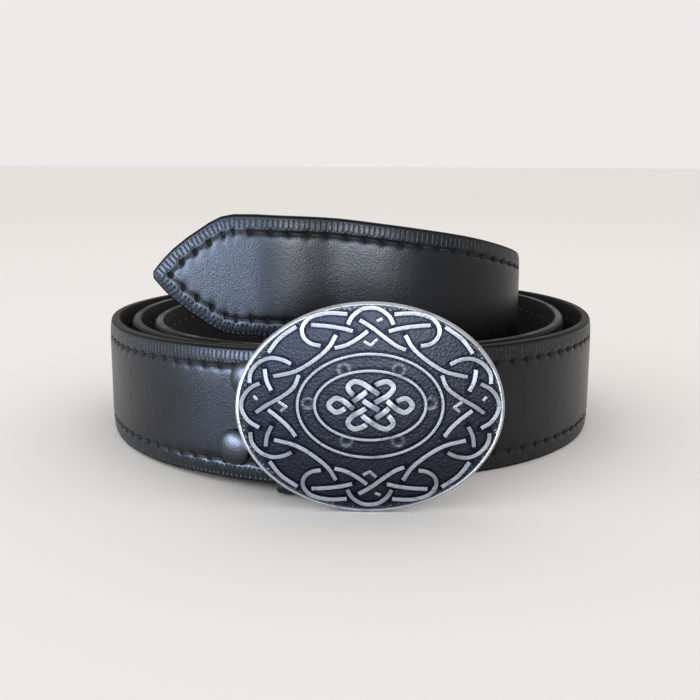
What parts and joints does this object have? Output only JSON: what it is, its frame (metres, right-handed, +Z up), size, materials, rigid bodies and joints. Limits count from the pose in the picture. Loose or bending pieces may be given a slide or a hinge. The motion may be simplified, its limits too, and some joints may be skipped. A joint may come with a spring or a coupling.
{
  "type": "belt",
  "caption": "Thick black leather belt with stitched bevelled borders and a pointed end, coiled on its edge, with an oval cast plate buckle of raised knotwork.",
  "frame": {"origin": "on the surface the belt stands on, at the middle of its plan box", "axes": "+Z up across the strap's width, -Y the way the buckle plate faces, +X to the right seen from the front"},
  "size_m": [0.1778, 0.203, 0.0779],
  "materials": {
    "strap_leather": "black bridle leather, waxed, soft sheen",
    "snap_metal": "dark gunmetal, satin",
    "antique_silver": "antique silver, dark in the recesses, worn bright on the raised lines"
  },
  "bodies": {
    "belt": {"strap": "strap_leather", "keeper": "strap_leather", "snap_upper": "snap_metal", "snap_lower": "snap_metal"},
    "buckle": {"buckle_plate": "antique_silver"}
  },
  "joints": [
    {"name": "buckle_swing", "type": "hinge", "parent": "belt", "child": "buckle", "pos_m": [-0.00287, -0.08273, 0.0232], "axis": [0, 0, 1], "range_deg": [-12, 25]}
  ]
}
